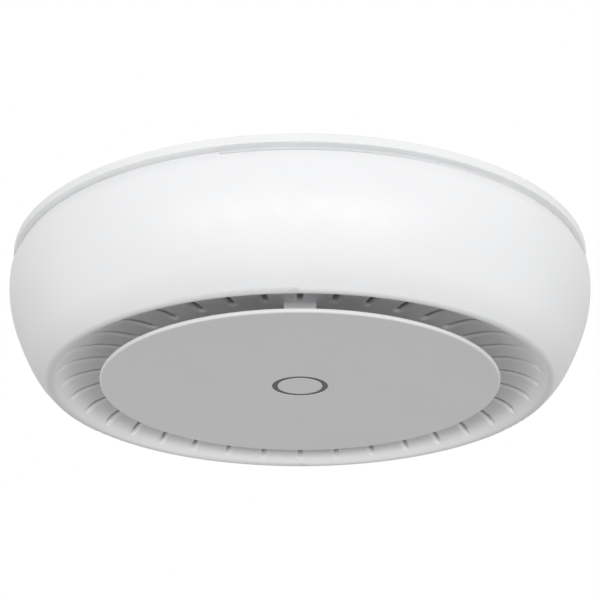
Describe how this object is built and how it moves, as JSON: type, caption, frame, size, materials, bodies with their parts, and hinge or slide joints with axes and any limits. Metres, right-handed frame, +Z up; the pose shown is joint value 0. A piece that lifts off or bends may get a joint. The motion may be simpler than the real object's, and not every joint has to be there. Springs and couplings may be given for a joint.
{
  "type": "ceiling access point",
  "caption": "Round ceiling-mounted wireless access point with a vented recess, a floating face disc, a status light ring, a cable bay and a twist-lock ceiling bracket.",
  "frame": {"origin": "centre of the bracket's ceiling face, which is also the centre of its screw pattern", "axes": "+Z up towards the ceiling, with the face disc pointing down; +Y is the way the network jacks open; -Y is the front edge, with the step in the top rim"},
  "size_m": [0.191, 0.191, 0.0429],
  "materials": {
    "bracket_plastic": "moulded white, fine satin texture",
    "housing_plastic": "moulded white, smooth satin",
    "disc_plastic": "moulded white, fine matte texture",
    "smoked_lens": "smoked translucent, unlit",
    "clear_guide": "clear moulded, polished",
    "base_plastic": "moulded white, satin",
    "label_film": "blank silver film label",
    "circuit_board": "green solder mask on glass epoxy",
    "chip_resin": "black moulding resin",
    "thermal_silicone": "soft grey-blue gap pad",
    "spreader_aluminium": "pressed plate, brushed",
    "led_resin": "clear resin over phosphor",
    "tinned_steel": "bright tin plate",
    "component_black": "black glass-filled nylon",
    "ferrite": "sintered dark grey ferrite",
    "capacitor_sleeve": "drawn aluminium can",
    "antenna_metal": "stamped tin-plated sheet",
    "gold_contact": "gold flash",
    "button_plastic": "grey satin",
    "zinc_screw": "zinc-plated steel"
  },
  "bodies": {
    "bracket": {"ceiling_bracket": "bracket_plastic"},
    "unit": {"front_housing": "housing_plastic", "face_disc": "disc_plastic", "light_ring": "smoked_lens", "light_guide": "clear_guide", "base_cover": "base_plastic", "rating_plate": "label_film", "main_board": "circuit_board", "processor_chip": "chip_resin", "memory_chips": "chip_resin", "flash_chip": "chip_resin", "switch_chip": "chip_resin", "radio_chips": "chip_resin", "rf_amplifiers": "chip_resin", "thermal_pads": "thermal_silicone", "heat_spreader": "spreader_aluminium", "status_leds": "led_resin", "crystal_can": "tinned_steel", "shield_cans": "tinned_steel", "ethernet_transformers": "component_black", "poe_transformer": "ferrite", "power_capacitors": "capacitor_sleeve", "power_inductors": "ferrite", "antenna_2ghz_left": "antenna_metal", "antenna_2ghz_right": "antenna_metal", "antenna_5ghz_left": "antenna_metal", "antenna_5ghz_right": "antenna_metal", "jack_shield_1": "tinned_steel", "jack_shield_2": "tinned_steel", "ethernet_jack_1": "component_black", "ethernet_jack_2": "component_black", "jack_contacts": "gold_contact", "mode_switch": "component_black", "reset_switch": "component_black", "rim_screws": "zinc_screw", "board_screws": "zinc_screw", "spreader_screws": "zinc_screw", "disc_screws": "zinc_screw"},
    "mode_button": {"mode_button": "button_plastic"},
    "reset_button": {"reset_button": "button_plastic"}
  },
  "joints": [
    {"name": "unit_twist", "type": "hinge", "parent": "bracket", "child": "unit", "pos_m": [0, 0, 0], "axis": [0, 0, -1], "range_deg": [0, 15]},
    {"name": "mode_press", "type": "slide", "parent": "unit", "child": "mode_button", "axis": [0, -1, 0], "range_m": [0, 0.0005], "stiffness_N_per_m": 2000},
    {"name": "reset_press", "type": "slide", "parent": "unit", "child": "reset_button", "axis": [0, -1, 0], "range_m": [0, 0.0005], "stiffness_N_per_m": 2000}
  ]
}
